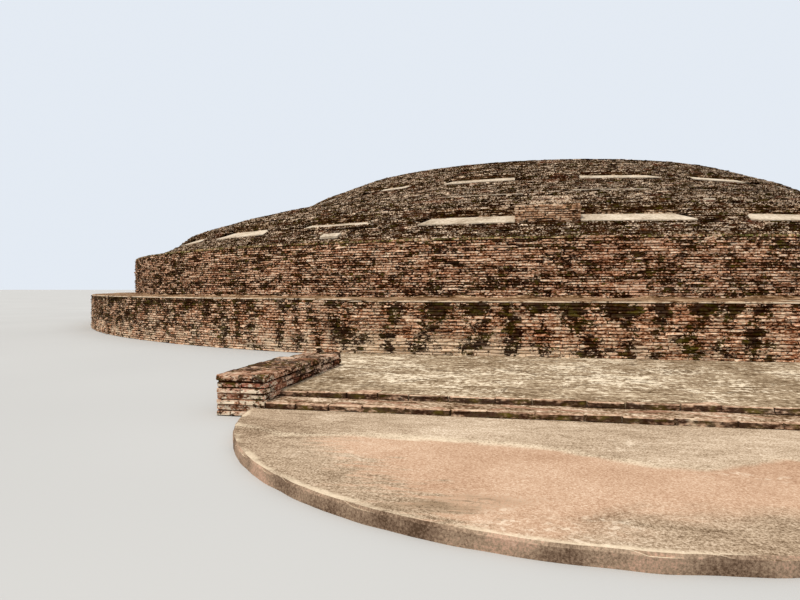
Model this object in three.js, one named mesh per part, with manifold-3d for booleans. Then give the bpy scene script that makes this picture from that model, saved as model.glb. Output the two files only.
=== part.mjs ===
// Brick stupa, 1:2 scale model: a round basement and drum, a stepped dome with two rows of
// recesses, and four projecting platforms. The front one has a terrace, a step, low parapets
// and a half-round threshold slab.
// The axis of the dome is the origin's Z axis, the ground is z = 0, and the front faces -Y.
import * as THREE from 'three';
import { mergeVertices } from 'three/addons/utils/BufferGeometryUtils.js';
import Module from 'manifold-3d';

// Scale: real metres to model millimetres
const MODEL_SCALE = 1 / 2;
const MM = 1000 * MODEL_SCALE;
const GAP = 0.3;

// Round tiers, in real metres above the ground and from the axis
const BASEMENT_RADIUS = 22.35;
const LEDGE_HEIGHT = 1.31;
const SCREED = 0.04;
const DRUM_RADIUS = 20.7;
const DRUM_HEIGHT = 2.76;
const LOWER_DOME = [[20.1, 2.76], [19.05, 3.28], [18.5, 3.74], [16.8, 4.31]];
const UPPER_DOME = [[16.8, 4.31], [13.4, 5.22], [12.9, 5.46], [12.5, 5.72], [10.1, 6.7]];
const CROWN = [[10.1, 6.7], [6.8, 6.95], [3.4, 7.08], [0, 7.12]];

// Recesses: a shelf that slopes outwards below a low upright back wall. The shift moves the
// recess along its shelf, to the right for someone who faces it.
const LOWER_RECESS = { count: 28, length: 2.95, shift: 0.12, foot: [19.05, 3.28], back: [18.5, 3.49] };
const UPPER_RECESS = { count: 18, length: 3.3, shift: 0.3, foot: [12.9, 5.46], back: [12.5, 5.6] };
const RECESS_TOP = 0.6;

// Piers between two recesses on an axis: left and right side, outer and inner distance, foot and top
const LOWER_PIER = { sides: 4, left: -0.82, right: 0.84, outer: 19.0, inner: 18.1, foot: 3.0, top: 3.72 };
const UPPER_PIER = { sides: 2, left: -0.92, right: 1.32, outer: 12.85, inner: 12.3, foot: 5.2, top: 5.65 };

// Projecting platforms, and what stands in front of the front one
const PLATFORM_HALF_WIDTH = 4.13;
const PLATFORM_FACE = 23.73;
const APRON_HEIGHT = 0.11;
const RISER = 0.076;
const TERRACE_EDGE = 28.17;
const STEP_EDGE = 28.58;
const PARAPET_INNER = 3.6;
const PARAPET_WIDTH = 0.6;
const PARAPET_FRONT_HEIGHT = 0.475;
const PARAPET_REAR_HEIGHT = 0.435;
const PARAPET_JOINT = 26.6;
const PARAPET_END = 25.6;
const SLAB_CENTRE = 28.1;
const SLAB_RADIUS = 3.8;

// Pieces round the axis
const FACETS = 96;
const BASEMENT_PIECES = 8;
const LOWER_DOME_PIECES = 4;
const UPPER_DOME_PIECES = 6;
const REACH = 40;

const gap = GAP / MM;
const stepHeight = APRON_HEIGHT + RISER;
const terraceHeight = stepHeight + RISER;
const basementHeight = LEDGE_HEIGHT - SCREED;

const brick = new THREE.MeshStandardMaterial({ color: 0xa8694c, roughness: 0.92, metalness: 0 });
const domeBrick = new THREE.MeshStandardMaterial({ color: 0x8a6350, roughness: 0.94, metalness: 0 });
const screed = new THREE.MeshStandardMaterial({ color: 0xc9b79a, roughness: 0.9, metalness: 0 });
const cement = new THREE.MeshStandardMaterial({ color: 0xb3a28b, roughness: 0.88, metalness: 0 });

const wasm = await Module();
wasm.setup();

// Closed geometry to a solid, and back
function toSolid(geometry) {
  const bare = geometry.clone();
  bare.deleteAttribute('normal');
  bare.deleteAttribute('uv');
  const merged = mergeVertices(bare, 1e-4);
  return new wasm.Manifold(new wasm.Mesh({
    numProp: 3,
    vertProperties: new Float32Array(merged.attributes.position.array),
    triVerts: new Uint32Array(merged.index.array),
  }));
}

function toGeometry(solid) {
  const mesh = solid.getMesh();
  const geometry = new THREE.BufferGeometry();
  geometry.setAttribute('position', new THREE.BufferAttribute(mesh.vertProperties, 3));
  geometry.setIndex(new THREE.BufferAttribute(mesh.triVerts, 1));
  geometry.computeVertexNormals();
  return geometry;
}

// A solid of revolution about Z from its profile of [radius, height] in real metres
function revolved(profile) {
  const points = profile.map(([r, z]) => new THREE.Vector2(r * MM, z * MM));
  const lathe = new THREE.LatheGeometry(points, FACETS);
  lathe.rotateX(Math.PI / 2);
  return toSolid(lathe);
}

// A dome band: the profile closed down to its lowest height and in to the axis
function band(profile) {
  const foot = profile[0][1];
  const top = profile[profile.length - 1][1];
  return revolved([[0, foot], ...profile, [0, top]]);
}

// A flat outline in real metres, raised from one height to another
function raised(outline, low, high) {
  const points = outline.map(([x, y]) => new THREE.Vector2(x * MM, y * MM));
  const depth = (high - low) * MM;
  const block = new THREE.ExtrudeGeometry(new THREE.Shape(points), { depth, bevelEnabled: false });
  block.translate(0, 0, low * MM);
  return toSolid(block);
}

// A slice from one bearing to another, in degrees from the front, set back by half a gap
function slice(from, to) {
  const middle = THREE.MathUtils.degToRad((from + to) / 2);
  const half = THREE.MathUtils.degToRad((to - from) / 2);
  const tip = gap / 2 / Math.sin(half);
  const corner = (bearing) => [
    tip * Math.sin(middle) + REACH * Math.sin(bearing),
    -tip * Math.cos(middle) - REACH * Math.cos(bearing),
  ];
  const outline = [[tip * Math.sin(middle), -tip * Math.cos(middle)]];
  outline.push(corner(middle - half), corner(middle), corner(middle + half));
  return raised(outline, -1, 10);
}

function slices(solid, count, start) {
  const turn = 360 / count;
  return Array.from({ length: count }, (_, i) => {
    return solid.intersect(slice(start + i * turn, start + (i + 1) * turn));
  });
}

// The cutter of one recess, facing the front: its shelf, its back wall and the air above
function recessCutter({ length, shift, foot, back }) {
  const outer = foot[0] + 1;
  const outerFloor = foot[1] - (back[1] - foot[1]) / (foot[0] - back[0]);
  const section = [[outer, outerFloor], back, [back[0], back[1] + RECESS_TOP], [outer, back[1] + RECESS_TOP]];
  const shape = new THREE.Shape(section.map(([r, z]) => new THREE.Vector2(r * MM, z * MM)));
  const block = new THREE.ExtrudeGeometry(shape, { depth: length * MM, bevelEnabled: false });
  block.translate(0, 0, -(length / 2 + shift) * MM);
  block.rotateX(Math.PI / 2);
  block.rotateZ(-Math.PI / 2);
  return block;
}

// A ring of recesses with a gap between two of them on the front axis
function cutRecesses(solid, recess) {
  let rest = solid;
  for (let i = 0; i < recess.count; i += 1) {
    const cutter = recessCutter(recess);
    cutter.rotateZ((i + 0.5) * 2 * Math.PI / recess.count);
    rest = rest.subtract(toSolid(cutter));
  }
  return rest;
}

// Piers that stand out of a band on its axes, the first one at the front
function addPiers(solid, { sides, left, right, outer, inner, foot, top }) {
  const block = raised([[left, -outer], [right, -outer], [right, -inner], [left, -inner]], foot, top);
  let whole = solid;
  for (let i = 0; i < sides; i += 1) {
    whole = whole.add(block.rotate([0, 0, i * 360 / sides]));
  }
  return whole;
}

const stupa = new THREE.Group();

function addMesh(name, solid, material) {
  const mesh = new THREE.Mesh(toGeometry(solid), material);
  mesh.name = name;
  stupa.add(mesh);
}

function addSlices(name, solid, count, start, material) {
  slices(solid, count, start).forEach((piece, i) => addMesh(`${name}_${i + 1}`, piece, material));
}

// Drum, from the ground up
addMesh('drum', revolved([[0, 0], [DRUM_RADIUS, 0], [DRUM_RADIUS, DRUM_HEIGHT], [0, DRUM_HEIGHT]]), brick);

// Basement wall round the drum, and the screed on its ledge
function ringRound(low, high) {
  const r = DRUM_RADIUS + gap;
  return revolved([[r, low], [BASEMENT_RADIUS, low], [BASEMENT_RADIUS, high], [r, high], [r, low]]);
}

addSlices('basement', ringRound(0, basementHeight), BASEMENT_PIECES, -180 / BASEMENT_PIECES, brick);
const ledge = ringRound(basementHeight, LEDGE_HEIGHT);
addSlices('ledge_screed', ledge, BASEMENT_PIECES, -180 / BASEMENT_PIECES, screed);

// Projecting platforms, cut to the round wall behind them
const clearance = BASEMENT_RADIUS + gap;
const roundWall = revolved([[0, -1], [clearance, -1], [clearance, 5], [0, 5]]);

const w = PLATFORM_HALF_WIDTH;

function platformPart(low, high) {
  const rear = BASEMENT_RADIUS - 1;
  const block = raised([[-w, -PLATFORM_FACE], [w, -PLATFORM_FACE], [w, -rear], [-w, -rear]], low, high);
  return block.subtract(roundWall);
}

['front', 'right', 'back', 'left'].forEach((side, i) => {
  const turn = [0, 0, i * 90];
  addMesh(`platform_${side}`, platformPart(0, basementHeight).rotate(turn), brick);
  addMesh(`platform_screed_${side}`, platformPart(basementHeight, LEDGE_HEIGHT).rotate(turn), screed);
});

// Dome
const lowerBand = addPiers(cutRecesses(band(LOWER_DOME), LOWER_RECESS), LOWER_PIER);
const upperBand = addPiers(cutRecesses(band(UPPER_DOME), UPPER_RECESS), UPPER_PIER);
addSlices('dome_lower', lowerBand, LOWER_DOME_PIECES, 0, domeBrick);
addSlices('dome_upper', upperBand, UPPER_DOME_PIECES, 0, domeBrick);
addMesh('dome_crown', revolved([[0, CROWN[0][1]], ...CROWN]), domeBrick);

// Terrace: full width behind the parapets, narrower between them
const inner = PARAPET_INNER - gap;
const neck = PARAPET_END - gap;
addMesh('terrace', raised([
  [-w, -PLATFORM_FACE - gap], [-w, -neck], [-inner, -neck], [-inner, -TERRACE_EDGE],
  [inner, -TERRACE_EDGE], [inner, -neck], [w, -neck], [w, -PLATFORM_FACE - gap],
], 0, terraceHeight), cement);
addMesh('lower_step', raised([
  [-inner, -STEP_EDGE], [inner, -STEP_EDGE], [inner, -TERRACE_EDGE - gap], [-inner, -TERRACE_EDGE - gap],
], 0, stepHeight), cement);

// Parapets: a higher front length and a lower rear one
function parapetPart(side, height, near, far) {
  const a = side * PARAPET_INNER;
  const b = side * (PARAPET_INNER + PARAPET_WIDTH);
  const outline = [[a, -near], [b, -near], [b, -far], [a, -far]];
  return raised(side > 0 ? outline : outline.reverse(), 0, height);
}

[['left', -1], ['right', 1]].forEach(([side, sign]) => {
  const front = parapetPart(sign, PARAPET_FRONT_HEIGHT, STEP_EDGE, PARAPET_JOINT + gap);
  const rear = parapetPart(sign, PARAPET_REAR_HEIGHT, PARAPET_JOINT, PARAPET_END);
  addMesh(`parapet_${side}_front`, front, brick);
  addMesh(`parapet_${side}_rear`, rear, brick);
});

// Half-round threshold slab at the foot of the steps
const slabFace = STEP_EDGE + gap;
const slabAngle = Math.acos((slabFace - SLAB_CENTRE) / SLAB_RADIUS);
const slabArc = Array.from({ length: 25 }, (_, i) => {
  const angle = slabAngle * (i / 12 - 1);
  return [SLAB_RADIUS * Math.sin(angle), -SLAB_CENTRE - SLAB_RADIUS * Math.cos(angle)];
});
addMesh('threshold_slab', raised(slabArc, 0, APRON_HEIGHT), cement);

export default stupa;
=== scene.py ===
"""Looks of the brick stupa, a 1:2 scale model with its front facing -Y and the ground at z = 0.

Sizes and places are the real building's, in metres, and SCALE turns them into the model's.
A bearing is measured round the dome's axis, from the front (-Y) towards +X.
"""

import math
import random

import bmesh
import bpy
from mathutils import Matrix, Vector, noise


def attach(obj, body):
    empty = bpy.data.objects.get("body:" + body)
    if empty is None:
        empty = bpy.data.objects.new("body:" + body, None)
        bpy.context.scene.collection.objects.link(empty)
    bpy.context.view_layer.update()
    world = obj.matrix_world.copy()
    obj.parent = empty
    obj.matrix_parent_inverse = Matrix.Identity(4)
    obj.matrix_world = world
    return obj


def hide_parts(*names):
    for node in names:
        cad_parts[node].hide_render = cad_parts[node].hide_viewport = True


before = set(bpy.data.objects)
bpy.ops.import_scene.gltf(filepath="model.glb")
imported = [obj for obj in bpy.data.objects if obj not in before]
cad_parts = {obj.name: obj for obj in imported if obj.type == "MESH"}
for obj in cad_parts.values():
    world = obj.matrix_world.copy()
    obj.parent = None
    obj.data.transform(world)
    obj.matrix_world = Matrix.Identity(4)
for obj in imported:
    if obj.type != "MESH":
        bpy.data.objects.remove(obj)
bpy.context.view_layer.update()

SCALE = 0.5

# Brickwork
COURSE = 0.0635
BED_JOINT = 0.020
HEAD_JOINT = 0.010
PROUD = 0.018
WALL_COURSES = 20
DRUM_COURSES = 23
FACING_DEPTH = 0.12
BRICK_HEIGHT = COURSE - BED_JOINT
DOME_BRICK_HEIGHT = 0.04
STRETCHERS = (0.42, 0.38, 0.34, 0.28, 0.22, 0.16)
HEADERS = (0.36, 0.3, 0.22, 0.18)
BROKEN = (0.34, 0.26, 0.2, 0.16, 0.12)
STEP_BRICKS = (0.6, 0.4, 0.52)

# Round tiers
BASEMENT_RADIUS = 22.35
LEDGE = 1.31
SCREED = 0.04
SCREED_LAP = 0.025
DRUM_RADIUS = 20.7
DRUM_TOP = 2.76
DRUM_COURSE = (DRUM_TOP - LEDGE) / DRUM_COURSES
LOWER_PROFILE = [(20.1, DRUM_TOP), (19.05, 3.28), (18.5, 3.74), (16.8, 4.31)]
UPPER_PROFILE = [LOWER_PROFILE[-1], (13.4, 5.22), (12.9, 5.46), (12.5, 5.72), (10.1, 6.7)]
CROWN_PROFILE = [UPPER_PROFILE[-1], (6.8, 6.95), (3.4, 7.08), (0.0, 7.12)]

# Recesses and the piers on the axes
LOWER_RECESS = {
    "count": 28, "left": -1.355, "right": 1.595,
    "foot": LOWER_PROFILE[1], "back": (LOWER_PROFILE[2][0], 3.49), "top": LOWER_PROFILE[2][1],
    "short": {26: (-1.35, 1.46, 0.32)},
    "bare": ((26, -1.33, 1.57, 19.07, 18.77), (26, 1.46, 1.57, 18.77, 18.52)),
}
UPPER_RECESS = {
    "count": 18, "left": -1.35, "right": 1.95,
    "foot": UPPER_PROFILE[2], "back": (UPPER_PROFILE[3][0], 5.6), "top": UPPER_PROFILE[3][1],
    "short": {16: (0.08, 1.5, 0.1), 1: (-1.25, 1.1, 0.0)},
    "bare": ((16, -1.33, 0.07, 12.92, 12.53), (1, 1.12, 1.92, 12.92, 12.53)),
}
WHOLE_SLAB = (-9.0, 9.0, 0.0)
LOWER_PIER = {"sides": 4, "left": -0.82, "right": 0.84, "outer": 19.0, "foot": 3.24, "top": 3.72}
UPPER_PIER = {"sides": 2, "left": -0.92, "right": 1.32, "outer": 12.85, "foot": 5.42, "top": 5.65}

# Missing bricks, a patch of fresher ones, and the pale slabs outside the recesses
DRUM_HOLES = ((12.17, 2.227), (12.23, 1.955))
DRUM_HOLE_REACH = 0.12
FRESH_PATCH = {"bearing": 0.8, "low": 3.84, "high": 4.24, "reach": 0.62}
AXIS_SLABS = ((-1.92, 2.6, 4.385), (1.98, 2.25, 4.56))
LOOSE_SLABS = ((-17.7, 19.78, 19.57, 0.6, 0.095), (13.9, 18.04, 17.97, 0.3, 0.07))

# Platforms, terrace, steps, parapets and threshold slab
SIDES = ("front", "right", "back", "left")
PLATFORM_HALF = 4.13
PLATFORM_FACE = 23.73
APRON = 0.11
STEP_TOP = 0.186
STEP_HALF = 3.598
RISER_HALF = 3.585
TERRACE_TOP = 0.262
TERRACE_EDGE = 28.17
STEP_EDGE = 28.58
PARAPET_INNER = 3.6
PARAPET_OUTER = 4.2
PARAPET_FRONT_TOP = 0.475
PARAPET_REAR_TOP = 0.435
PARAPET_JOINT = 26.6
PARAPET_END = 25.6
SLAB_CENTRE = 28.1
SLAB_RADIUS = 3.8

# Studio
FLOOR_HALF = 800
CAMERA_PLACE = Vector((-0.564, -35.394, 1.529))
CAMERA_BEARING = 11.55
LENS = 27.54
SENSOR = 36
LENS_SHIFT = -0.014
LIGHT_DIRECTION = Vector((0.25, 0.35, -1.0))


def add_node(tree, kind, inputs=None, **settings):
    """A node with its settings made, and its inputs linked to a socket or set to a value."""
    node = tree.nodes.new(kind)
    for name, value in settings.items():
        setattr(node, name, value)
    for key, value in (inputs or {}).items():
        if isinstance(value, bpy.types.NodeSocket):
            tree.links.new(value, node.inputs[key])
        else:
            node.inputs[key].default_value = value
    return node


# Materials

def srgb(red, green, blue):
    """A colour as it looks on screen, 0 to 255, turned into Blender's linear values."""
    def linear(value):
        value /= 255
        return value / 12.92 if value <= 0.04045 else ((value + 0.055) / 1.055) ** 2.4
    return (linear(red), linear(green), linear(blue), 1.0)


class Finish:
    """A procedural surface, worked out from the place on the building in real metres."""

    def __init__(self, name, roughness=0.93):
        self.material = bpy.data.materials.new(name)
        self.material.use_nodes = True
        self.tree = self.material.node_tree
        self.shader = self.tree.nodes["Principled BSDF"]
        self.shader.inputs["Roughness"].default_value = roughness
        self.shader.inputs["Specular IOR Level"].default_value = 0.03
        place = self.add("ShaderNodeTexCoord")["Object"]
        self.real = self.add("ShaderNodeVectorMath", {0: place, "Scale": 1 / SCALE}, operation="SCALE")[0]
        self.x, self.y, self.z = self.add("ShaderNodeSeparateXYZ", {0: self.real})

    def add(self, kind, inputs=None, **settings):
        """A node of this finish, by its outputs."""
        return add_node(self.tree, kind, inputs, **settings).outputs

    def math(self, operation, a, b=0.0):
        """One arithmetic step."""
        return self.add("ShaderNodeMath", {0: a, 1: b}, operation=operation)[0]

    def times(self, first, *others):
        """Values multiplied with each other."""
        for other in others:
            first = self.math("MULTIPLY", first, other)
        return first

    def total(self, weighted, start=0.0):
        """The sum of values, each with its weight."""
        for value, weight in weighted:
            start = self.add("ShaderNodeMath", {0: value, 1: weight, 2: start}, operation="MULTIPLY_ADD")[0]
        return start

    def blend(self, weighted, middle=0.0, also=()):
        """Fields that run from 0 to 1, each with its weight, summed about a middle, and plain values also."""
        start = middle - sum(weight for _, weight in weighted) / 2
        return self.total(weighted + [(value, 1.0) for value in also], start)

    def apart(self, value, middle):
        """How far a value is from a middle one."""
        return self.math("ABSOLUTE", self.total([(value, 1.0)], -middle))

    def unrolled(self, radius):
        """A place as its way round the wall and its height, instead of x, y and z."""
        bearing = self.math("ARCTAN2", self.x, self.times(self.y, -1.0))
        return self.add("ShaderNodeCombineXYZ", {0: self.times(bearing, radius), 2: self.z})[0]

    def attribute(self, name):
        """A number that each brick carries, such as its tone or its wear."""
        return self.add("ShaderNodeAttribute", attribute_name=name)["Fac"]

    def noise(self, scale, detail=3.0, stretch=(1, 1, 1), shift=0.0, warp=0.0, rough=0.5, place=None):
        """Smooth noise between 0 and 1, finer where the scale or the stretch is greater."""
        where = self.add("ShaderNodeMapping", {
            "Vector": place or self.real, "Scale": stretch, "Location": (shift, shift * 0.7, shift * 0.3),
        })
        return self.add("ShaderNodeTexNoise", {
            "Vector": where[0], "Scale": scale, "Detail": detail, "Roughness": rough, "Distortion": warp,
        })["Fac"]

    def fall(self, value, low, high, at_low=0.0, at_high=1.0):
        """Goes smoothly from at_low to at_high while the value goes from low to high."""
        return self.add("ShaderNodeMapRange", {
            "Value": value, "From Min": low, "From Max": high, "To Min": at_low, "To Max": at_high,
        }, interpolation_type="SMOOTHSTEP")["Result"]

    def facing_up(self):
        """1 on top faces, 0 on upright ones."""
        normal = self.add("ShaderNodeNewGeometry")["True Normal"]
        return self.fall(self.add("ShaderNodeSeparateXYZ", {0: normal})[2], 0.45, 0.75)

    def facing_out(self):
        """1 on upright faces, 0 on top ones."""
        return self.math("SUBTRACT", 1.0, self.facing_up())

    def ramp(self, value, stops):
        """The colour at a value, between stops that each give a position and a colour."""
        node = add_node(self.tree, "ShaderNodeValToRGB", {"Fac": value})
        row = node.color_ramp.elements
        row[0].position, row[0].color = stops[0][0], srgb(*stops[0][1])
        row[1].position, row[1].color = stops[-1][0], srgb(*stops[-1][1])
        for position, colour in stops[1:-1]:
            row.new(position).color = srgb(*colour)
        return node.outputs["Color"]

    def mix(self, amount, under, over):
        """A colour laid over another by an amount."""
        over = srgb(*over) if isinstance(over, tuple) else over
        return self.add("ShaderNodeMix", {0: amount, 6: under, 7: over}, data_type="RGBA")[2]

    def coat(self, under, over, field, low, high, most=1.0):
        """A colour laid over another while a field goes from low to high, up to a share of it."""
        return self.mix(self.fall(field, low, high, 0.0, most), under, over)

    def close(self, colour, height, depth):
        """Sets the colour, and the bump from a height of that depth in real metres."""
        bump = self.add("ShaderNodeBump", {"Strength": 0.9, "Distance": depth * SCALE, "Height": height})
        self.tree.links.new(colour, self.shader.inputs["Base Color"])
        self.tree.links.new(bump[0], self.shader.inputs["Normal"])
        return self.material


CLAY = [
    (0.0, (56, 24, 4)), (0.16, (108, 64, 34)), (0.34, (162, 112, 78)), (0.54, (202, 154, 120)),
    (0.76, (222, 183, 150)), (1.0, (236, 210, 180)),
]
DOME_CLAY = [
    (0.0, (24, 9, 0)), (0.25, (60, 36, 16)), (0.45, (102, 73, 47)), (0.65, (151, 120, 90)),
    (0.82, (200, 170, 140)), (1.0, (232, 208, 180)),
]
RED_CLAY = [
    (0.0, (66, 36, 20)), (0.25, (126, 84, 58)), (0.5, (174, 130, 102)), (0.75, (206, 170, 142)),
    (1.0, (226, 198, 170)),
]
MOSS = [(0.3, (27, 6, 0)), (0.44, (40, 15, 0)), (0.54, (46, 30, 0)), (0.7, (78, 68, 12))]


def clay(finish, stops, spread, shift=0.0, gritty=2.6, pits=14):
    """Fired clay, each brick in its own tone, mottled and pitted."""
    mottle = finish.noise(4, 4, stretch=(1, 1, 1.6))
    grit = finish.noise(1.0, 2.0, stretch=(pits, pits, 30), rough=0.8)
    pick = finish.blend([(finish.attribute("tone"), spread), (mottle, 0.8), (grit, gritty)], 0.5 + shift)
    return finish.ramp(pick, stops)


def rough_face(finish):
    """The grain of a brick's face, for its bump."""
    return finish.total([(finish.noise(26, 4), 0.6), (finish.noise(80, 2), 0.4)])


def dashes(finish, length, seed, pitch=COURSE, foot=0.0):
    """Dark breaks that run along the courses, each course with its own."""
    course = finish.math("FLOOR", finish.total([(finish.z, 1 / pitch)], -foot / pitch))
    place = finish.add("ShaderNodeCombineXYZ", {0: finish.x, 1: finish.y, 2: finish.times(course, 3.71)})
    return finish.noise(1.0, 2.0, stretch=(length, length, 1), shift=seed, rough=0.6, place=place[0])


def specks(finish, seed):
    """Fine flecks, flatter than they are wide."""
    return finish.noise(1.0, 2.5, stretch=(16, 16, 30), shift=seed, rough=0.65)


def red_patches(finish, wear, seed):
    """Where the bricks of a wall are fired redder."""
    patch = finish.noise(1.0, 4.0, stretch=(1.6, 1.6, 1.2), shift=seed)
    return finish.blend([(patch, 1.0), (wear, 0.3)])


def grow(finish, colour, field, low, high, strength=0.96):
    """Black and olive growth where the field is strong; where a field carries painted shade, this dark colour
    paints that shade too.
    """
    cover = finish.fall(field, low, high, 0.0, strength)
    return finish.mix(cover, colour, finish.ramp(finish.noise(1.0, 3, stretch=(6, 6, 12)), MOSS))


def lime_cover(finish, wear):
    """How much lime has washed down on to the foot of the basement wall."""
    far_left = finish.fall(finish.x, -PLATFORM_HALF - 0.87, -PLATFORM_HALF - 0.02, 0.3, 1.0)
    foot = finish.times(
        finish.fall(finish.z, 0.28, 0.82, 0.41, 0.0), far_left, finish.fall(finish.x, -2.0, 1.5, 1.0, 0.34),
    )
    left = finish.times(finish.fall(finish.x, -2.5, 1.0, 0.08, 0.0), far_left)
    weighted = [(finish.noise(2.4, 4), 1.0), (specks(finish, 30.0), 1.2), (wear, 0.2)]
    return finish.fall(finish.blend(weighted, also=(foot, left)), 0.08, 0.28, 0.0, 0.75)


def wall_growth_and_shade(finish, wear):
    """Growth in upright stacks on the basement wall, with a mossy band along its top, and painted shade that
    darkens it towards the far left.
    """
    wall = finish.unrolled(BASEMENT_RADIUS)
    way_round = finish.add("ShaderNodeSeparateXYZ", {0: wall})[0]
    uneven_way = finish.noise(1.0, 1.0, stretch=(0.5, 1, 0.4), place=wall)
    stack = finish.math("SINE", finish.total([(way_round, 9.2), (uneven_way, 22.0)]))
    stack = finish.times(stack, finish.fall(finish.x, -12.0, -5.0, 0.2, 1.0), 0.2)
    presence = finish.noise(1.0, 2.0, stretch=(1.6, 1, 2.2), shift=40.0, place=wall)
    band = finish.fall(finish.z, LEDGE - 0.33, LEDGE - 0.15)
    band = finish.times(band, finish.fall(finish.x, -2.5, 1.5, 0.17, 0.25))
    thin_foot = finish.fall(finish.z, 0.12, 0.45, -0.14, 0.0)
    # painted shade: more of the dark growth colour towards the far left
    shade = finish.fall(finish.x, -14.0, -5.0, 0.12, 0.0)
    return finish.blend([
        (presence, 1.0), (dashes(finish, 3.8, 3.0), 1.3), (specks(finish, 1.0), 1.7), (wear, 0.2),
    ], also=(stack, band, thin_foot, shade))


def basement_brick():
    """Tan-pink bricks under a dark mossy band, with upright stacks of growth, a lime-stained foot, and
    painted shade towards the far left.
    """
    finish = Finish("basement_brick")
    colour = clay(finish, CLAY, 0.48, 0.0, 3.2)
    wear = finish.attribute("wear")
    colour = finish.coat(colour, (184, 110, 74), red_patches(finish, wear, 33.0), -0.04, 0.22, 0.26)
    colour = finish.mix(lime_cover(finish, wear), colour, (226, 202, 170))
    colour = grow(finish, colour, wall_growth_and_shade(finish, wear), 0.04, 0.11)
    return finish.close(colour, rough_face(finish), 0.012)


def wall_mortar():
    """Earthy joints of the basement wall, limed and overgrown like the bricks round them, with the same
    painted shade towards the far left.
    """
    finish = Finish("wall_mortar", 0.97)
    lump = finish.noise(14, 4)
    colour = finish.ramp(lump, [(0.3, (36, 12, 2)), (0.5, (66, 36, 16)), (0.7, (100, 66, 40))])
    colour = finish.mix(lime_cover(finish, 0.6), colour, (206, 180, 148))
    colour = grow(finish, colour, wall_growth_and_shade(finish, 0.5), 0.0, 0.08)
    return finish.close(colour, lump, 0.02)


def earth_mortar():
    """The dark earthy core that shows in the joints, with a pale foot."""
    finish = Finish("earth_mortar", 0.97)
    lump = finish.noise(14, 4)
    colour = finish.ramp(lump, [(0.3, (26, 7, 0)), (0.5, (46, 20, 2)), (0.7, (72, 42, 16))])
    by_foot = finish.fall(finish.z, 0.15, 0.5, 0.5, 0.0)
    stain = finish.times(by_foot, finish.fall(finish.noise(2.4, 4), 0.45, 0.7))
    return finish.close(finish.mix(stain, colour, (140, 118, 92)), lump, 0.02)


def drum_brick():
    """Evener tan-pink bricks with dark dashes and clusters, painted shade towards the far left, and a broken
    green line along the top edge.
    """
    finish = Finish("drum_brick")
    colour = clay(finish, CLAY, 0.46, 0.085, 3.5)
    wear = finish.attribute("wear")
    colour = finish.coat(colour, (182, 106, 70), red_patches(finish, wear, 21.0), -0.04, 0.26, 0.24)
    cluster = finish.noise(1.0, 2.0, stretch=(1.3, 1.3, 1.5))
    towards_top = finish.fall(finish.z, DRUM_TOP - 0.26, DRUM_TOP - 0.04, 0.0, 0.08)
    # painted shade: more of the dark growth colour towards the far left
    shade = finish.fall(finish.x, -14.0, -5.0, 0.08, 0.0)
    field = finish.blend([
        (cluster, 0.7), (dashes(finish, 5.0, 8.0, DRUM_COURSE, LEDGE), 1.3),
        (dashes(finish, 1.3, 28.0, DRUM_COURSE, LEDGE), 1.3), (specks(finish, 4.0), 1.9), (wear, 0.3),
    ], also=(towards_top, shade))
    colour = grow(finish, colour, field, 0.04, 0.11)
    along_edge = finish.noise(1.0, 3.0, stretch=(0.7, 1, 1), shift=9.0, place=finish.unrolled(DRUM_RADIUS))
    green_field = finish.blend([(along_edge, 0.8), (specks(finish, 9.0), 2.2)])
    edge = finish.fall(finish.z, DRUM_TOP - 0.08, DRUM_TOP - 0.01)
    green = finish.times(edge, finish.fall(green_field, -0.04, 0.16, 0.0, 0.75))
    return finish.close(finish.mix(green, colour, (134, 128, 72)), rough_face(finish), 0.012)


def dome_brick():
    """Dark weathered dome bricks with tan flecks and olive growth."""
    finish = Finish("dome_brick")
    colour = clay(finish, DOME_CLAY, 0.6, 0.03, 5.3, 20)
    broad = finish.noise(0.6, 3.0, stretch=(1, 1, 2.0))
    towards_top = finish.fall(finish.z, 6.2, 6.8, 0.0, 0.1)
    field = finish.blend([
        (broad, 0.4), (dashes(finish, 3.3, 5.0), 1.6), (dashes(finish, 1.2, 25.0), 1.2),
        (specks(finish, 2.0), 1.5), (finish.attribute("wear"), 0.4),
    ], also=(towards_top,))
    colour = grow(finish, colour, field, 0.035, 0.12, 0.94)
    colour = finish.coat(colour, (142, 82, 56), finish.noise(1.6, 3, shift=14.0), 0.56, 0.72, 0.4)
    by_foot = finish.fall(finish.z, DRUM_TOP + 0.04, DRUM_TOP + 0.24, 0.16, 0.0)
    green_field = finish.blend([(finish.noise(1.2, 4), 1.0), (specks(finish, 9.0), 1.2)], also=(by_foot,))
    colour = finish.coat(colour, (120, 114, 62), green_field, 0.24, 0.38, 0.7)
    return finish.close(colour, rough_face(finish), 0.018)


def shaded_recess_brick():
    """Bricks on the recess backs, nearly all under the dark growth colour: moss, and painted shade of the
    recess.
    """
    finish = Finish("shaded_recess_brick")
    colour = clay(finish, DOME_CLAY, 0.5)
    wear = finish.attribute("wear")
    field = finish.blend([(dashes(finish, 3.0, 2.0), 1.2), (specks(finish, 7.0), 1.0), (wear, 0.2)])
    # painted shade: the low growth thresholds cover almost every brick, so the recess back stays dark
    return finish.close(grow(finish, colour, field, -0.1, 0.08), rough_face(finish), 0.014)


def pier_brick():
    """Lighter tan-pink bricks on the piers."""
    finish = Finish("pier_brick")
    colour = finish.mix(0.4, clay(finish, CLAY, 0.7, 0.14, 3.2), (182, 146, 112))
    wear = finish.attribute("wear")
    field = finish.blend([(dashes(finish, 4.5, 11.0), 1.2), (specks(finish, 12.0), 1.8), (wear, 0.25)])
    return finish.close(grow(finish, colour, field, 0.12, 0.24, 0.9), rough_face(finish), 0.014)


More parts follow.
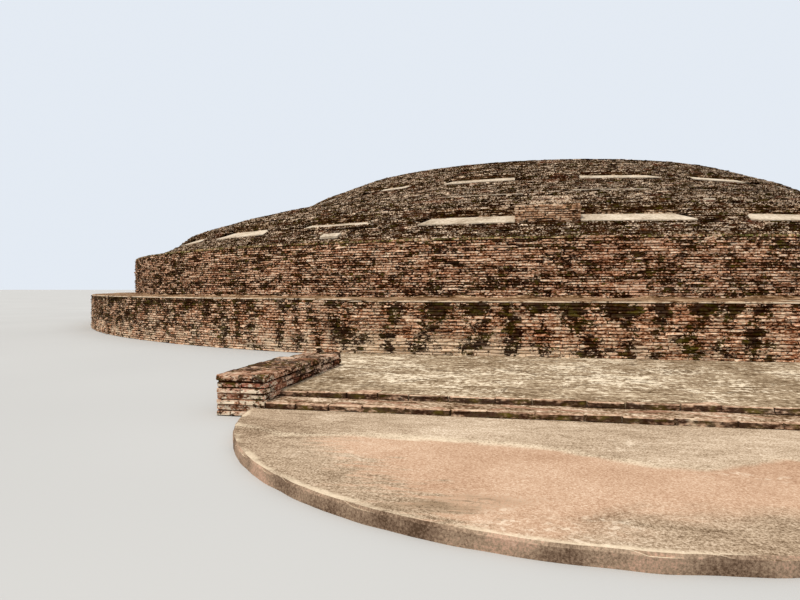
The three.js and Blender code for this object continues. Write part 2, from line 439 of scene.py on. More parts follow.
def parapet_brick():
    """Brown and red parapet bricks with lime-white patches low down, and a dark mossy top."""
    finish = Finish("parapet_brick")
    colour = clay(finish, RED_CLAY, 0.9, 0.1)
    wear = finish.attribute("wear")
    up = finish.facing_up()
    inside = finish.fall(finish.y, -STEP_EDGE + 0.18, -STEP_EDGE + 0.48)
    colour = finish.mix(finish.times(up, 0.45), colour, (124, 86, 62))
    red_courses = finish.times(
        finish.fall(finish.z, 0.2, 0.26), finish.fall(finish.z, 0.38, 0.42, 0.75, 0.0),
        finish.fall(finish.noise(5.0, 4, shift=5.0), 0.4, 0.56),
        finish.fall(finish.y, -STEP_EDGE + 0.08, -STEP_EDGE + 0.48, 1.0, 0.25),
    )
    colour = finish.mix(red_courses, colour, (156, 88, 70))
    not_high = finish.fall(finish.z, 0.2, 0.34, 0.0, -0.12)
    off_axis = finish.apart(finish.x, 0.0)
    inner_corner = finish.fall(off_axis, PARAPET_INNER + 0.04, PARAPET_INNER + 0.35, 0.18, 0.0)
    lime_field = finish.blend([
        (finish.noise(4.0, 4, shift=2.0), 1.0), (wear, 0.2), (specks(finish, 31.0), 1.4),
    ], also=(not_high, inner_corner, finish.times(up, -0.4), finish.times(inside, -0.36)))
    colour = finish.coat(colour, (226, 208, 180), lime_field, 0.02, 0.17, 0.85)
    high = finish.fall(finish.z, 0.36, 0.43, 0.0, 0.08)
    field = finish.blend([
        (finish.noise(3.0, 4, shift=9.0), 1.0), (wear, 0.25), (specks(finish, 3.0), 1.6),
    ], also=(high, finish.times(inside, 0.2)))
    return finish.close(grow(finish, colour, field, 0.13, 0.27, 0.92), rough_face(finish), 0.014)


def step_brick():
    """Step bricks: dark olive-brown risers under pink-beige worn tops."""
    finish = Finish("step_brick")
    wear = finish.attribute("wear")
    tone = finish.blend([(finish.noise(3.0, 4), 1.2), (finish.noise(24, 3), 1.4), (wear, 0.1)], 0.5)
    bare = finish.ramp(tone, [
        (0.0, (96, 70, 52)), (0.3, (150, 116, 92)), (0.55, (188, 154, 126)), (1.0, (222, 198, 168)),
    ])
    smear = finish.noise(1.0, 3, stretch=(1.6, 1.6, 9))
    fleck = finish.noise(1.0, 3, stretch=(14, 14, 34))
    less_on_top = finish.times(finish.facing_up(), -0.46)
    field = finish.blend([(smear, 1.0), (fleck, 1.3), (wear, 0.05)], also=(less_on_top,))
    return finish.close(grow(finish, bare, field, -0.36, 0.02, 0.92), rough_face(finish), 0.014)


def ledge_screed():
    """Brown soil and screed on the ledge, behind a thin broken pale lip, with painted shade on the side under
    the lip.
    """
    finish = Finish("ledge_screed")
    side = finish.facing_out()
    clods = finish.noise(1.0, 5, stretch=(2.4, 2.4, 5.0), rough=0.8)
    crumbs = finish.noise(12, 4, rough=0.7)
    contrast = finish.total([(side, 1.9)], 2.3)
    coarse, fine = finish.blend([(clods, 1.0)]), finish.blend([(crumbs, 1.0)])
    soil = finish.total([(coarse, contrast), (fine, 1.2)], 0.46)
    colour = finish.ramp(soil, [
        (0.1, (26, 13, 3)), (0.3, (78, 52, 28)), (0.5, (128, 98, 70)), (0.7, (178, 147, 116)),
        (0.95, (214, 188, 154)),
    ])
    mottle = finish.noise(1.0, 4, stretch=(4.0, 4.0, 4.0), shift=17.0, rough=0.7)
    # painted shade: a dark band low on the side faces under the lip, broken up by a mottle
    under_lip = finish.fall(finish.z, LEDGE - 0.037, LEDGE - 0.03, 0.85, 0.0)
    shaded = finish.times(side, under_lip, finish.fall(mottle, 0.38, 0.5, 0.2, 1.0))
    colour = finish.mix(shaded, colour, (36, 23, 8))
    wall = finish.unrolled(BASEMENT_RADIUS)
    broken = finish.noise(1.0, 5, stretch=(2.6, 1, 1), shift=6.0, rough=0.75, place=wall)
    lip = finish.fall(finish.z, LEDGE - 0.036, LEDGE - 0.03, 0.0, 0.95)
    colour = finish.mix(finish.times(side, lip, finish.fall(broken, 0.4, 0.52)), colour, (232, 208, 178))
    return finish.close(colour, finish.noise(24, 5), 0.014)


def cream_weathering():
    """Cream cement on the recess shelves, thinly streaked, with painted shade that makes it a little darker
    just left of the axis.
    """
    finish = Finish("cream_weathering", 0.88)
    streaks = finish.noise(12, 4, stretch=(1, 1, 2), rough=0.7)
    # painted shade: the shelves a little darker just left of the axis, and lighter again right of it
    shaded_left_of_axis = finish.fall(finish.x, -4.3, -3.4, -0.05, -0.12)
    clearer = finish.fall(finish.x, -0.8, 0.3, 0.0, 0.07)
    wash = finish.blend([(finish.noise(1.4, 5), 0.6), (streaks, 1.0)], 0.5, (shaded_left_of_axis, clearer))
    colour = finish.ramp(wash, [
        (0.1, (124, 105, 84)), (0.3, (168, 150, 127)), (0.5, (202, 185, 162)), (0.66, (219, 203, 181)),
        (0.85, (236, 222, 203)),
    ])
    grime = finish.blend([(finish.noise(1.6, 5, shift=5.0), 1.2), (finish.noise(14, 3), 0.8)])
    colour = finish.coat(colour, (122, 102, 80), grime, 0.12, 0.28, 0.6)
    return finish.close(colour, finish.noise(30, 4), 0.006)


def cracks(finish, scuff, broad):
    """Fine cracks, bent by the scuffs and thinned out where the broad pattern is low."""
    wobble = finish.add("ShaderNodeCombineXYZ", {0: finish.times(scuff, 1.4), 1: finish.times(broad, 1.8)})
    bent = finish.add("ShaderNodeVectorMath", {0: finish.real, 1: wobble[0]})
    cells = finish.add("ShaderNodeTexVoronoi", {"Vector": bent[0], "Scale": 0.7}, feature="DISTANCE_TO_EDGE")
    line = finish.fall(cells["Distance"], 0.003, 0.012, 0.75, 0.0)
    return finish.times(line, finish.fall(broad, 0.42, 0.55))


def terrace_cement():
    """Grey-beige cement, blotched, with flaked cream patches and fine cracks."""
    finish = Finish("terrace_cement", 0.9)
    scuff = finish.noise(1.0, 9, stretch=(1.5, 2.4, 1), warp=0.5, rough=0.7)
    broad = finish.noise(0.6, 4, shift=2.0)
    speck = finish.noise(1.0, 3, stretch=(16, 12, 1), rough=0.8)
    streak = finish.noise(1.0, 5, stretch=(2.8, 12.0, 1), shift=15.0, rough=0.8)
    wash = finish.blend([(scuff, 0.8), (broad, 0.5), (speck, 1.7), (streak, 1.5)], 0.48)
    colour = finish.ramp(wash, [
        (0.1, (70, 51, 30)), (0.3, (114, 94, 70)), (0.46, (138, 117, 92)), (0.6, (160, 139, 112)),
        (0.78, (194, 174, 146)), (0.95, (228, 211, 183)),
    ])
    flaked = finish.noise(1.0, 8, stretch=(1.7, 1.3, 1), shift=12.0, warp=0.5, rough=0.75)
    by_steps = finish.fall(finish.y, -TERRACE_EDGE + 0.37, -TERRACE_EDGE + 1.37, -0.1, 0.0)
    pale = finish.blend([(flaked, 1.3), (broad, 0.5), (speck, 0.9), (streak, 1.0)], also=(by_steps,))
    colour = finish.coat(colour, (228, 210, 182), pale, 0.07, 0.14, 0.75)
    colour = finish.mix(cracks(finish, scuff, broad), colour, (74, 60, 46))
    return finish.close(colour, finish.total([(speck, 0.5), (scuff, 0.5)]), 0.01)


def tread_cement():
    """Mauve-pink beige skin on the treads, with brick showing through."""
    finish = Finish("tread_cement", 0.9)
    cloud = finish.noise(2.4, 5, stretch=(1, 2, 1))
    wash = finish.blend([(cloud, 1.4), (finish.noise(20, 3, rough=0.8), 2.0)], 0.5)
    colour = finish.ramp(wash, [
        (0.1, (50, 30, 12)), (0.34, (98, 74, 50)), (0.54, (150, 124, 98)), (0.76, (192, 168, 142)),
        (0.95, (226, 204, 178)),
    ])
    show = finish.noise(3.4, 4, stretch=(1, 2.4, 1), shift=6.0)
    colour = finish.coat(colour, (168, 122, 98), show, 0.52, 0.62, 0.5)
    return finish.close(colour, finish.noise(26, 4), 0.01)


def slab_grey(finish, speck, stain, streak):
    """The slab's grey-beige cement, darker where its left end and its near side are worn."""
    worn_left = finish.fall(finish.total([(finish.x, 1.0), (finish.y, 0.5)]), -18.4, -16.6, -0.16, 0.0)
    worn_near = finish.fall(finish.total([(finish.y, 1.0), (finish.x, -0.28)]), -31.2, -30.2, -0.1, 0.0)
    tone = finish.blend([(stain, 0.8), (speck, 1.7), (streak, 0.6)], 0.5, (worn_left, worn_near))
    return finish.ramp(tone, [
        (0.05, (88, 68, 48)), (0.26, (132, 110, 87)), (0.5, (172, 149, 123)), (0.7, (196, 174, 149)),
        (0.95, (224, 206, 181)),
    ])


def slab_marks(finish, colour, speck, stain):
    """A brown smudge on a slant near the slab's front, and cream crumbs in patches."""
    slant = finish.total([(finish.y, 1.0), (finish.x, -0.3)])
    from_smudge = finish.total([(finish.apart(finish.x, -0.95), 0.6), (finish.apart(slant, -31.05), 1.6)])
    smudge = finish.times(
        finish.fall(from_smudge, 0.05, 0.5, 0.8, 0.0),
        finish.fall(finish.blend([(stain, 1.0), (speck, 1.0)], 0.5), 0.42, 0.6),
    )
    colour = finish.mix(smudge, colour, (124, 97, 70))
    from_spot = finish.total([(finish.apart(finish.x, -0.45), 0.8), (finish.apart(finish.y, -31.5), 1.0)])
    patch = finish.total([
        (finish.noise(1.2, 3, shift=19.0), 1.0), (finish.fall(from_spot, 0.3, 0.75, 0.22, 0.0), 1.0),
    ])
    crumbs = finish.fall(finish.noise(9.0, 5, shift=7.0, rough=0.75), 0.5, 0.62, 0.0, 0.6)
    return finish.mix(finish.times(crumbs, finish.fall(patch, 0.58, 0.7)), colour, (226, 206, 180))


def slab_rim(finish, colour, speck, stain):
    """A pale lip just inside the slab's round edge, and its brown upright side."""
    centre = (0.0, -SLAB_CENTRE, APRON)
    reach = finish.add("ShaderNodeVectorMath", {0: finish.real, 1: centre}, operation="DISTANCE")["Value"]
    lip_field = finish.total([(reach, 1.0), (finish.noise(2.5, 4, shift=8.0), 0.16)], -0.08)
    lip = finish.fall(lip_field, SLAB_RADIUS - 0.08, SLAB_RADIUS - 0.03)
    lip = finish.times(lip, finish.fall(stain, 0.42, 0.58, 0.0, 0.6))
    colour = finish.mix(lip, colour, (222, 202, 172))
    side = finish.ramp(finish.blend([(finish.noise(2.2, 4, shift=4.0), 1.2), (speck, 1.0)], 0.5), [
        (0.2, (84, 64, 48)), (0.42, (130, 106, 86)), (0.58, (158, 134, 110)), (0.74, (186, 148, 124)),
        (0.95, (206, 176, 150)),
    ])
    return finish.mix(finish.facing_out(), colour, side)


def slab_cement():
    """Grey-beige cement round a peach sandy field with a cream drift, a pale lip and a brown edge."""
    finish = Finish("slab_cement", 0.9)
    speck = finish.noise(60, 2, rough=0.8)
    wave = finish.noise(0.8, 5, warp=0.6)
    stain = finish.noise(1.0, 7, stretch=(1.0, 1.5, 1), warp=0.4, shift=1.0, rough=0.62)
    streak = finish.noise(1.0, 4, stretch=(3.2, 13.0, 1), warp=0.2, shift=23.0, rough=0.7)
    peach = finish.ramp(finish.blend([(finish.noise(1.6, 5, shift=3.0), 0.6), (speck, 1.5)], 0.5), [
        (0.1, (134, 97, 72)), (0.34, (165, 130, 103)), (0.56, (185, 151, 123)), (0.9, (213, 187, 160)),
    ])
    dip = finish.total([(finish.fall(finish.x, -0.5, 0.5), -0.42), (finish.fall(finish.x, 0.8, 1.6), 0.42)])
    far = finish.total([(finish.y, -1.0), (wave, 0.9), (dip, 1.0)], -30.12)
    near = finish.total([(finish.y, 1.0), (finish.x, -0.28), (wave, 1.0), (stain, 1.2)], 30.68)
    side = finish.total([(finish.x, 1.0), (finish.y, 0.75), (wave, 1.6), (stain, 0.8), (streak, 2.4)], 22.6)
    field = finish.times(finish.fall(far, 0.0, 0.16), finish.fall(near, 0.0, 0.5))
    field = finish.times(field, finish.fall(side, 0.0, 0.5))
    colour = finish.mix(field, slab_grey(finish, speck, stain, streak), peach)
    drift = finish.times(
        finish.fall(far, -0.14, 0.04), finish.fall(far, 0.04, 0.16, 0.6, 0.0),
        finish.fall(finish.x, 0.0, 0.8, 1.0, 0.3),
        finish.fall(finish.total([(stain, 0.5), (speck, 0.5)]), 0.4, 0.54),
    )
    colour = finish.mix(drift, colour, (224, 204, 174))
    colour = slab_marks(finish, colour, speck, stain)
    colour = slab_rim(finish, colour, speck, stain)
    return finish.close(colour, finish.total([(speck, 0.6), (stain, 0.4)]), 0.005)


def plain_floor():
    """The studio's pale floor, with a faint unevenness of tone."""
    finish = Finish("plain_floor", 0.95)
    colour = finish.ramp(finish.noise(0.2, 1), [(0.3, (176, 174, 170)), (0.7, (180, 178, 174))])
    return finish.close(colour, 0.0, 0.0)


# Worn bricks, set in courses

def brick_setting_tree():
    """Geometry Nodes: one worn brick on every point of a setting-out, made real and given its finish."""
    tree = bpy.data.node_groups.new("worn_brick_setting", "GeometryNodeTree")
    for title, kind in (
        ("Setting Out", "Geometry"), ("Worn Face", "Bool"), ("Edge Wear", "Vector"), ("Face Crown", "Float"),
        ("Raggedness", "Float"), ("Chip Size", "Float"), ("Chipped Share", "Float"), ("Seed", "Int"),
        ("Finish", "Material"),
    ):
        tree.interface.new_socket(title, in_out="INPUT", socket_type="NodeSocket" + kind)
    tree.interface.new_socket("Bricks", in_out="OUTPUT", socket_type="NodeSocketGeometry")

    def node(kind, inputs=None, **settings):
        return add_node(tree, kind, inputs, **settings).outputs

    given = node("NodeGroupInput")

    # A block whose front may be crowned and drawn in at its edges
    normal = node("ShaderNodeSeparateXYZ", {0: node("GeometryNodeInputNormal")[0]})
    front = node("FunctionNodeCompare", {
        "A": normal["Y"], "B": -0.5,
    }, data_type="FLOAT", operation="LESS_THAN")
    worn_front = node("FunctionNodeBooleanMath", {0: front["Result"], 1: given["Worn Face"]}, operation="AND")
    block = node("GeometryNodeMeshCube", {"Size": (1.0, 1.0, 1.0)})
    crown = node("GeometryNodeExtrudeMesh", {
        "Mesh": block["Mesh"], "Selection": worn_front[0], "Offset Scale": given["Face Crown"],
    }, mode="FACES")
    place = node("GeometryNodeInputPosition")[0]
    shrink = node("ShaderNodeVectorMath", {0: place, 1: given["Edge Wear"]}, operation="MULTIPLY")
    worn = node("GeometryNodeSetPosition", {
        "Geometry": crown["Mesh"], "Selection": crown["Top"], "Offset": shrink[0],
    })

    # One on each point, turned and sized by the point's own attributes
    turn, size = (
        node("GeometryNodeInputNamedAttribute", {"Name": title}, data_type="FLOAT_VECTOR")["Attribute"]
        for title in ("turn", "size")
    )
    laid = node("GeometryNodeInstanceOnPoints", {
        "Points": given["Setting Out"], "Instance": worn["Geometry"], "Rotation": turn, "Scale": size,
    })
    real = node("GeometryNodeRealizeInstances", {"Geometry": laid["Instances"]})

    # Every corner pushed a little, a share of them further, and none below the ground
    push = node("FunctionNodeRandomValue", {
        "Min": (-1.0, -1.0, -1.0), "Max": (1.0, 1.0, 1.0), "Seed": given["Seed"],
    }, data_type="FLOAT_VECTOR")
    flatter = node("ShaderNodeVectorMath", {0: push[0], 1: (1.0, 1.0, 0.4)}, operation="MULTIPLY")
    chance = node("FunctionNodeRandomValue", {"Seed": given["Seed"]}, data_type="FLOAT")
    chipped = node("ShaderNodeMath", {0: chance[1], 1: given["Chipped Share"]}, operation="LESS_THAN")
    reach = node("ShaderNodeMath", {
        0: chipped[0], 1: given["Chip Size"], 2: given["Raggedness"],
    }, operation="MULTIPLY_ADD")
    shift = node("ShaderNodeVectorMath", {0: flatter[0], "Scale": reach[0]}, operation="SCALE")
    ragged = node("GeometryNodeSetPosition", {"Geometry": real["Geometry"], "Offset": shift[0]})
    place = node("GeometryNodeInputPosition")[0]
    above_ground = node("ShaderNodeVectorMath", {0: place, 1: (-1000.0, -1000.0, 0.0)}, operation="MAXIMUM")
    grounded = node("GeometryNodeSetPosition", {"Geometry": ragged["Geometry"], "Position": above_ground[0]})
    dressed = node("GeometryNodeSetMaterial", {"Geometry": grounded["Geometry"], "Material": given["Finish"]})
    node("NodeGroupOutput", {0: dressed["Geometry"]})
    return tree


BRICK_SETTING = brick_setting_tree()


class Brickwork:
    """Collects where bricks go, and then has the node tree lay them as one piece."""

    def __init__(self, name, seed):
        self.name = name
        self.seed = seed
        self.chance = random.Random(seed)
        self.places = []
        self.turns = []
        self.sizes = []
        self.tones = []
        self.wears = []

    def brick(self, x, y, z, heading, length, depth, height, tilt, lean):
        """One brick by its middle, with its face turned to that bearing."""
        self.places.append((x * SCALE, y * SCALE, z * SCALE))
        self.turns.append((lean, tilt, heading))
        self.sizes.append((length * SCALE, depth * SCALE, height * SCALE))
        self.tones.append(self.chance.random())
        self.wears.append(self.chance.random())

    def near(self, bearing, low, high, reach):
        """The bricks within reach of a bearing in degrees, between two heights."""
        found = []
        for number, (x, y, z) in enumerate(self.places):
            off = math.remainder(math.atan2(x, -y) - math.radians(bearing), 2 * math.pi)
            if abs(off) * math.hypot(x, y) < reach * SCALE and low * SCALE < z < high * SCALE:
                found.append(number)
        return found

    def leave_out(self, numbers):
        """Takes bricks out by their numbers, the last ones first."""
        for number in sorted(numbers, reverse=True):
            for row in (self.places, self.turns, self.sizes, self.tones, self.wears):
                del row[number]

    def lengths(self, run, sizes):
        """Middles and lengths of the bricks in a run, joints left between them."""
        at = 0.0
        while at < run:
            pitch = self.chance.choice(sizes) * self.chance.uniform(0.93, 1.07)
            if run - at - pitch < min(sizes) * 0.6:
                pitch = run - at
            yield at + pitch / 2, pitch - HEAD_JOINT * self.chance.uniform(0.6, 1.6)
            at += pitch

    def round_course(self, radius, z, spans, sizes, depth, height, rough):
        """One course on a circle, over spans of bearing."""
        gauss = self.chance.gauss
        for start, end in spans:
            shift = self.chance.uniform(0, 0.4) / radius if end - start > 6.2 else 0.0
            for middle, length in self.lengths((end - start) * radius, sizes):
                bearing = start + shift + middle / radius
                out = radius + gauss(0, rough) - depth / 2
                self.brick(
                    out * math.sin(bearing), -out * math.cos(bearing), z + gauss(0, 0.0015),
                    bearing + gauss(0, rough * 1.6), length, depth, height + gauss(0, 0.006),
                    gauss(0, 0.006), gauss(0, rough * 1.2),
                )

    def straight_course(self, start, end, z, sizes, depth, height, rough):
        """One course along a line, its face to the right of the way it runs."""
        gauss = self.chance.gauss
        across, along = end[0] - start[0], end[1] - start[1]
        run = math.hypot(across, along)
        heading = math.atan2(along, across)
        for middle, length in self.lengths(run, sizes):
            inset = depth / 2 + gauss(0, rough)
            x = start[0] + across * middle / run - inset * math.sin(heading)
            y = start[1] + along * middle / run + inset * math.cos(heading)
            self.brick(
                x, y, z + gauss(0, 0.0015), heading + gauss(0, rough * 1.6), length, depth,
                height + gauss(0, 0.006), gauss(0, 0.005), gauss(0, rough * 1.2),
            )

    def setting_out(self):
        """A mesh of one point a brick, which carries each brick's turn, size, tone and wear."""
        points = bpy.data.meshes.new(self.name + "_setting_out")
        points.from_pydata(self.places, [], [])
        for title, kind, field, row in (
            ("turn", "FLOAT_VECTOR", "vector", [value for turn in self.turns for value in turn]),
            ("size", "FLOAT_VECTOR", "vector", [value for size in self.sizes for value in size]),
            ("tone", "FLOAT", "value", self.tones),
            ("wear", "FLOAT", "value", self.wears),
        ):
            points.attributes.new(title, kind, "POINT").data.foreach_set(field, row)
        return points

    def lay(self, finish, worn_face=True, edge=-0.06, crown=0.06, ragged=0.006, chip=0.04, share=0.16):
        """Turns the setting-out into worn bricks and hands over the finished piece."""
        piece = bpy.data.objects.new(self.name, self.setting_out())
        bpy.context.scene.collection.objects.link(piece)
        setting = piece.modifiers.new("worn_brick_setting", "NODES")
        setting.node_group = BRICK_SETTING
        wanted = {
            "Worn Face": worn_face, "Edge Wear": (edge, 0, -0.25), "Face Crown": crown,
            "Raggedness": ragged * SCALE, "Chip Size": chip * SCALE, "Chipped Share": share,
            "Seed": self.seed, "Finish": finish,
        }
        for socket in BRICK_SETTING.interface.items_tree:
            if socket.in_out == "INPUT" and socket.name in wanted:
                setting[socket.identifier] = wanted[socket.name]
        graph = bpy.context.evaluated_depsgraph_get()
        bricks = bpy.data.meshes.new_from_object(
            piece.evaluated_get(graph), preserve_all_data_layers=True, depsgraph=graph,
        )
        piece.modifiers.clear()
        piece.data = bricks
        for title in ("turn", "size", "UVMap"):
            if title in bricks.attributes:
                bricks.attributes.remove(bricks.attributes[title])
        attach(piece, "root")


class Cast:
    """Collects closed slabs of cement or screed, with worn tops, into one piece."""

    def __init__(self, name):
        self.name = name
        self.points = []
        self.faces = []

    def slab(self, cells, place, top, foot, wrap=0):
        """A slab over grid cells; place gives a corner's x and y, top and foot its heights."""
        cells = set(cells)
        known = {}

        def corner(i, j, upper):
            key = (i % wrap if wrap else i, j, upper)
            if key not in known:
                x, y = place(key[0], j)
                z = top(x, y) if upper else foot(x, y)
                known[key] = len(self.points)
                self.points.append((x * SCALE, y * SCALE, z * SCALE))
            return known[key]

        def settled(i, j):
            return ((i % wrap if wrap else i), j) in cells

        for i, j in sorted(cells):
            ring = [(i, j), (i + 1, j), (i + 1, j + 1), (i, j + 1)]
            self.faces.append([corner(a, b, True) for a, b in ring])
            self.faces.append([corner(a, b, False) for a, b in reversed(ring)])
            for k, neighbour in enumerate(((i, j - 1), (i + 1, j), (i, j + 1), (i - 1, j))):
                if not settled(*neighbour):
                    a, b = ring[k], ring[(k + 1) % 4]
                    side = ((a, False), (b, False), (b, True), (a, True))
                    self.faces.append([corner(*end, upper) for end, upper in side])

    def pour(self, finish, replaced=()):
        """Makes the slabs one mesh with its faces outwards and hands over the finished piece."""
        mesh = bpy.data.meshes.new(self.name)
        mesh.from_pydata(self.points, [], self.faces)
        mesh.materials.append(finish)
        shell = bmesh.new()
        shell.from_mesh(mesh)
        bmesh.ops.recalc_face_normals(shell, faces=shell.faces)
        shell.to_mesh(mesh)
        shell.free()
        piece = bpy.data.objects.new(self.name, mesh)
        bpy.context.scene.collection.objects.link(piece)
        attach(piece, "root")
        if replaced:
            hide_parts(*replaced)


# Setting out

def uneven(a, b, c):
    """Smooth unevenness between about -1 and 1."""
    return noise.noise(Vector((a, b, c)))


def rolling(x, y, frequency, seed=0.0):
    """Smooth unevenness of a surface, between about -1 and 1."""
    return uneven(x * frequency + seed, y * frequency - seed, seed * 0.5)


def level(z):
    """A flat top or foot at a height."""
    return lambda x, y: z


def grid(columns, rows):
    """All the cells of a slab."""
    return [(i, j) for i in range(columns) for j in range(rows)]


def spot(bearing, distance, along):
    """The point at a distance from the dome's axis on a bearing, and then along, square to it."""
    return (
        math.sin(bearing) * distance + math.cos(bearing) * along,
        -math.cos(bearing) * distance + math.sin(bearing) * along,
    )


def turned(point, quarter):
    """A point of the front side, carried to another of the four sides."""
    for _ in range(quarter):
        point = (-point[1], point[0])
    return point


def radius_at(profile, z):
    """The dome's radius at a height."""
    for (outer, low), (inner, high) in zip(profile, profile[1:]):
        if z <= high:
            return outer + (inner - outer) * (z - low) / (high - low)
    return profile[-1][0]


def height_at(profile, radius):
    """The dome's height at a radius."""
    for (outer, low), (inner, high) in zip(profile, profile[1:]):
        if radius >= inner:
            return low + (high - low) * (outer - radius) / (outer - inner)
    return profile[-1][1]


def full_circle():
    """The one span of a course that runs right round."""
    return [(0.0, 2 * math.pi)]


def between_platforms(radius):
    """The four spans of a course that are left between the platforms."""
    half = math.asin((PLATFORM_HALF + 0.01) / radius)
    return [(half + i * math.pi / 2, math.pi / 2 - half + i * math.pi / 2) for i in range(4)]


def recess_ends(recess, distance):
    """Where a recess starts and ends along its shelf; the dome's bricks close in towards its back."""
    front, back = recess["foot"][0], recess["back"][0]
    part = min(1.0, max(0.0, (front - distance) / (front - back)))
    return recess["left"] + 0.02 + 0.28 * part, recess["right"] - 0.02 - 0.42 * part


def shelf_slope(recess):
    """How much a recess shelf rises for each metre inwards."""
    (front, foot), (back, top) = recess["foot"], recess["back"]
    return (top - foot) / (front - back)


def between_recesses(recess, pier, radius):
    """Spans of a course that are left between recesses, without those that a pier covers."""
    step = 2 * math.pi / recess["count"]
    left, right = (math.asin(end / radius) for end in recess_ends(recess, radius))
    pier_bearings = [i * 2 * math.pi / pier["sides"] for i in range(pier["sides"])]
    spans = []
    for i in range(recess["count"]):
        middle = (i + 1) * step
        if any(abs(math.remainder(middle - bearing, 2 * math.pi)) < 0.01 for bearing in pier_bearings):
            continue
        spans.append((middle - step / 2 + right, middle + step / 2 + left))
    return spans


# Brick pieces

def lay_basement(finish):
    """The round wall between the platforms."""
    work = Brickwork("basement_bricks", 11)
    spans = between_platforms(BASEMENT_RADIUS)
    for course in range(WALL_COURSES):
        z = (course + 0.5) * (LEDGE - SCREED) / WALL_COURSES
        work.round_course(BASEMENT_RADIUS + PROUD, z, spans, STRETCHERS, FACING_DEPTH, BRICK_HEIGHT, 0.003)
    work.lay(finish)


def lay_platforms(finish):
    """The front and the two flanks of each platform, lapped at the corners in alternate courses."""
    half, face = PLATFORM_HALF + PROUD, PLATFORM_FACE + PROUD
    rear = math.sqrt(BASEMENT_RADIUS ** 2 - PLATFORM_HALF ** 2) - 0.02
    for quarter, side in enumerate(SIDES):
        work = Brickwork("platform_bricks_" + side, 21 + quarter)
        for course in range(WALL_COURSES):
            z = (course + 0.5) * (LEDGE - SCREED) / WALL_COURSES
            lap = FACING_DEPTH if course % 2 else 0.0
            corner = -face + FACING_DEPTH - lap
            for start, end in (
                ((-half + lap, -face), (half - lap, -face)),
                ((half, corner), (half, -rear)),
                ((-half, -rear), (-half, corner)),
            ):
                start, end = turned(start, quarter), turned(end, quarter)
                work.straight_course(start, end, z, STRETCHERS, FACING_DEPTH, BRICK_HEIGHT, 0.003)
        work.lay(finish)


def lay_drum(finish):
    """The drum's face with two bricks missing, and the two rings of bricks on its shoulder."""
    work = Brickwork("drum_bricks", 31)
    radius = DRUM_RADIUS + PROUD
    for course in range(DRUM_COURSES - 1):
        z = LEDGE + (course + 0.5) * DRUM_COURSE
        work.round_course(radius, z, full_circle(), STRETCHERS, FACING_DEPTH, BRICK_HEIGHT, 0.005)
    for bearing, z in DRUM_HOLES:
        work.leave_out(work.near(bearing, z - DRUM_COURSE / 2, z + DRUM_COURSE / 2, DRUM_HOLE_REACH))
    work.lay(finish)

    shelf = Brickwork("drum_shelf_bricks", 33)
    z = DRUM_TOP - DRUM_COURSE / 2 + 0.01
    for distance in (radius, DRUM_RADIUS - 0.31):
        shelf.round_course(distance, z, full_circle(), STRETCHERS, 0.32, BRICK_HEIGHT + 0.008, 0.007)
    shelf.lay(finish, worn_face=False)


def cover_bare_shelf(work, recess, bay, left, right, near, far):
    """Loose bricks on a stretch of a recess shelf that has lost its slab.

    For each such stretch, recess["bare"] gives its bay, its two ends, and its near and far distance.
    """
    bearing = (bay + 0.5) * 2 * math.pi / recess["count"]
    front, foot = recess["foot"]
    rows = max(1, round((near - far) / 0.16))
    for row in range(rows):
        face = near - row * (near - far) / rows
        z = foot + (front - face + 0.1) * shelf_slope(recess) + 0.012
        first, last = recess_ends(recess, face)
        start = spot(bearing, face, max(left, first))
        end = spot(bearing, face, min(right, last))
        work.straight_course(start, end, z, BROKEN, 0.2, DOME_BRICK_HEIGHT, 0.012)


def lay_dome(finish):
    """Courses of broken bricks up both bands, open at the recesses, with a fresher patch over the front."""
    for name, seed, profile, recess, pier in (
        ("dome_lower_bricks", 41, LOWER_PROFILE, LOWER_RECESS, LOWER_PIER),
        ("dome_upper_bricks", 43, UPPER_PROFILE, UPPER_RECESS, UPPER_PIER),
    ):
        work = Brickwork(name, seed)
        low, high = profile[0][1], profile[-1][1]
        courses = round((high - low) / COURSE)
        for course in range(courses):
            z = low + course * (high - low) / courses
            radius = radius_at(profile, z)
            in_recess = recess["foot"][1] - 0.02 < z < recess["top"] - 0.02
            spans = between_recesses(recess, pier, radius) if in_recess else full_circle()
            stand_out = 0.012 + work.chance.gauss(0, 0.012)
            settled = 0.02 + work.chance.gauss(0, 0.006)
            work.round_course(radius + stand_out, z + settled, spans, BROKEN, 0.3, DOME_BRICK_HEIGHT, 0.013)
        for stretch in recess["bare"]:
            cover_bare_shelf(work, recess, *stretch)
        for number in work.near(**FRESH_PATCH):
            work.tones[number] = 0.9 + 0.3 * work.tones[number]
            work.wears[number] = -0.3
        work.lay(finish, worn_face=False, share=0.14)


def lay_recess_backs(name, seed, finish, recess):
    """The low upright back wall of each recess."""
    work = Brickwork(name, seed)
    distance, low = recess["back"]
    courses = max(1, round((recess["top"] - low) / COURSE))
    for bay in range(recess["count"]):
        bearing = (bay + 0.5) * (2 * math.pi / recess["count"])
        start, end = (spot(bearing, distance + 0.02, recess[side]) for side in ("left", "right"))
        for course in range(courses):
            z = low + (course + 0.5) * (recess["top"] - low) / courses
            work.straight_course(start, end, z, BROKEN, 0.2, DOME_BRICK_HEIGHT, 0.008)
    work.lay(finish, worn_face=False, ragged=0.005, chip=0.03, share=0.1)


